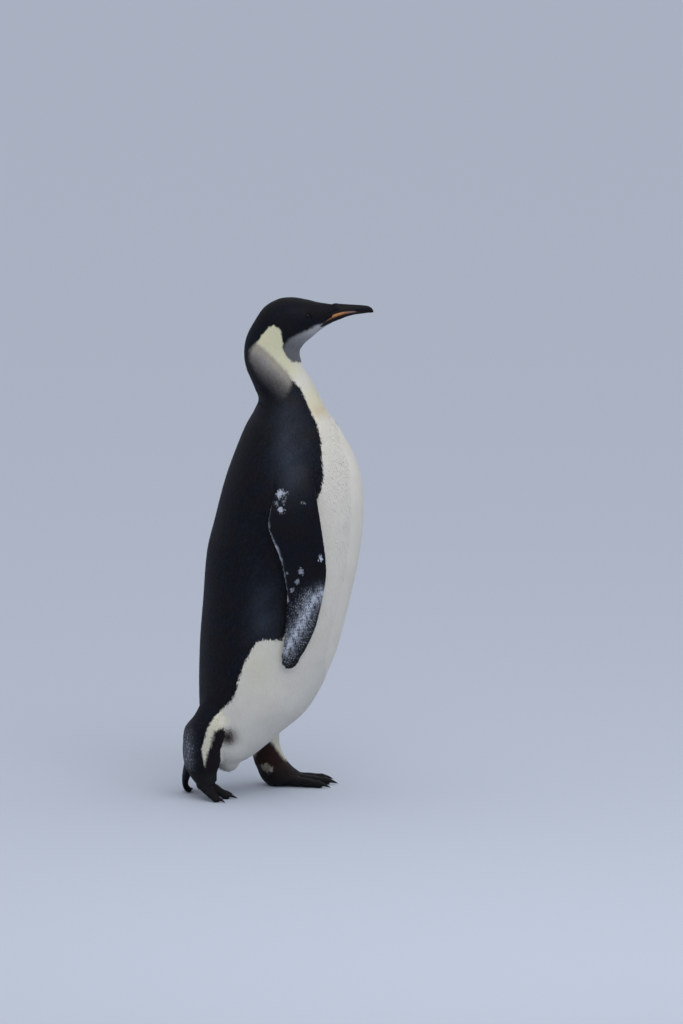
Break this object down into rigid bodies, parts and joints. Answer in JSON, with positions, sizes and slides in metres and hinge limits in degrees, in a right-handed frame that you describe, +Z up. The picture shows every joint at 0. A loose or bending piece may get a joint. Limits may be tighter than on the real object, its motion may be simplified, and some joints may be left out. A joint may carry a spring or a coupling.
{
  "type": "emperor penguin",
  "caption": "Life-size still model of an immature emperor penguin in mid-stride, head level and flippers by its sides, for a museum or natural history display.",
  "frame": {"origin": "middle of the bird's bounding box at floor level, on the floor it stands on", "axes": "+X the way the bird walks and looks, +Y its left side, +Z up"},
  "size_m": [0.3834, 0.3452, 1.004],
  "materials": {
    "plumage_white": "matte belly feathers, off-white",
    "plumage_grey": "matte neck feathers, grey to pale cream",
    "plumage_black": "near-black feathers with a cold sheen",
    "plumage_leg": "short dark brown leg feathers",
    "foot_skin": "black scaly skin",
    "claw_horn": "black horn",
    "bill_horn": "purple-black horn",
    "bill_plate": "orange-pink plate between dark edges",
    "eye": "dark brown, wet and glossy"
  },
  "bodies": {
    "root": {"trunk": "plumage_white", "neck": "plumage_grey", "head": "plumage_black", "tail": "plumage_black", "flipper_right": "plumage_black", "flipper_left": "plumage_black", "leg_right": "plumage_leg", "leg_left": "plumage_leg", "foot_right": "foot_skin", "foot_left": "foot_skin", "bill_upper": "bill_horn", "bill_lower": "bill_plate", "eye_right": "eye", "eye_left": "eye", "claw_outer_right": "claw_horn", "claw_middle_right": "claw_horn", "claw_inner_right": "claw_horn", "claw_hind_right": "claw_horn", "claw_outer_left": "claw_horn", "claw_middle_left": "claw_horn", "claw_inner_left": "claw_horn", "claw_hind_left": "claw_horn"}
  },
  "joints": []
}
